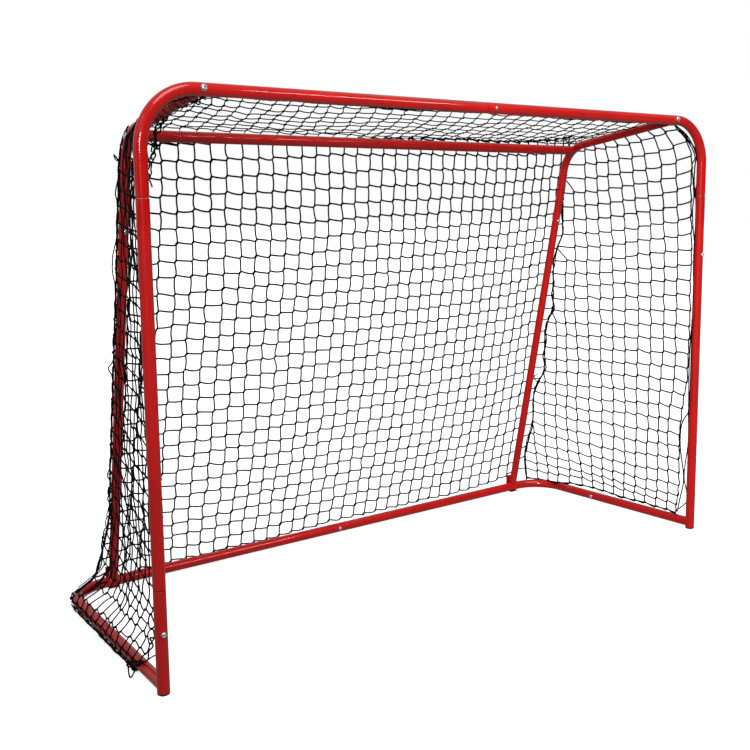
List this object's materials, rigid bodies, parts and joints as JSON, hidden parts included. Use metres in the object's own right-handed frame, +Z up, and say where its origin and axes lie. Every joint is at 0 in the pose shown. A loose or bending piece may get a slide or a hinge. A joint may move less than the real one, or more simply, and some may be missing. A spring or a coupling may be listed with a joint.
{
  "type": "hockey goal net",
  "caption": "Knock-down street-hockey goal: red steel tube frame bolted from short lengths, with a black square-mesh net laced over the roof, back and sides.",
  "frame": {"origin": "centre of the footprint, on the ground", "axes": "+X along the crossbar to the right as seen from the shooter, +Y from the mouth towards the back of the net, +Z up"},
  "size_m": [1.625, 0.6364, 1.15],
  "materials": {
    "red_powder_coat": "glossy powder coat",
    "zinc_steel": "bright zinc plate",
    "black_plastic": "matte",
    "black_net_cord": "knotted synthetic twine"
  },
  "bodies": {
    "root": {"base_bar_bolt": "zinc_steel", "base_rear_left": "red_powder_coat", "base_rear_right": "red_powder_coat", "base_side_bolt_left": "zinc_steel", "base_side_bolt_right": "zinc_steel", "base_side_left": "red_powder_coat", "base_side_right": "red_powder_coat", "corner_bolt_left": "zinc_steel", "corner_bolt_right": "zinc_steel", "crossbar_left": "red_powder_coat", "crossbar_right": "red_powder_coat", "crossbar_screw": "zinc_steel", "foot_bolt_left": "zinc_steel", "foot_bolt_right": "zinc_steel", "foot_cap_left": "black_plastic", "foot_cap_right": "black_plastic", "foot_nut_left": "zinc_steel", "foot_nut_right": "zinc_steel", "foot_section_left": "red_powder_coat", "foot_section_right": "red_powder_coat", "net_back": "black_net_cord", "net_roof": "black_net_cord", "net_rope_corner_left": "black_net_cord", "net_rope_corner_right": "black_net_cord", "net_rope_crossbar": "black_net_cord", "net_rope_post_left": "black_net_cord", "net_rope_post_right": "black_net_cord", "net_side_left": "black_net_cord", "net_side_right": "black_net_cord", "post_bolt_left": "zinc_steel", "post_bolt_right": "zinc_steel", "post_left": "red_powder_coat", "post_right": "red_powder_coat", "rear_bar_bolt_left": "zinc_steel", "rear_bar_bolt_right": "zinc_steel", "rear_bar_insert_left": "zinc_steel", "rear_bar_insert_right": "zinc_steel", "rear_top_bar": "red_powder_coat", "roof_stub_insert_left": "zinc_steel", "roof_stub_insert_right": "zinc_steel", "roof_stub_left": "red_powder_coat", "roof_stub_right": "red_powder_coat", "side_tube_left": "red_powder_coat", "side_tube_right": "red_powder_coat", "upright_bolt_left": "zinc_steel", "upright_bolt_right": "zinc_steel", "upright_hook_left": "red_powder_coat", "upright_hook_right": "red_powder_coat", "upright_left": "red_powder_coat", "upright_right": "red_powder_coat"}
  },
  "joints": []
}
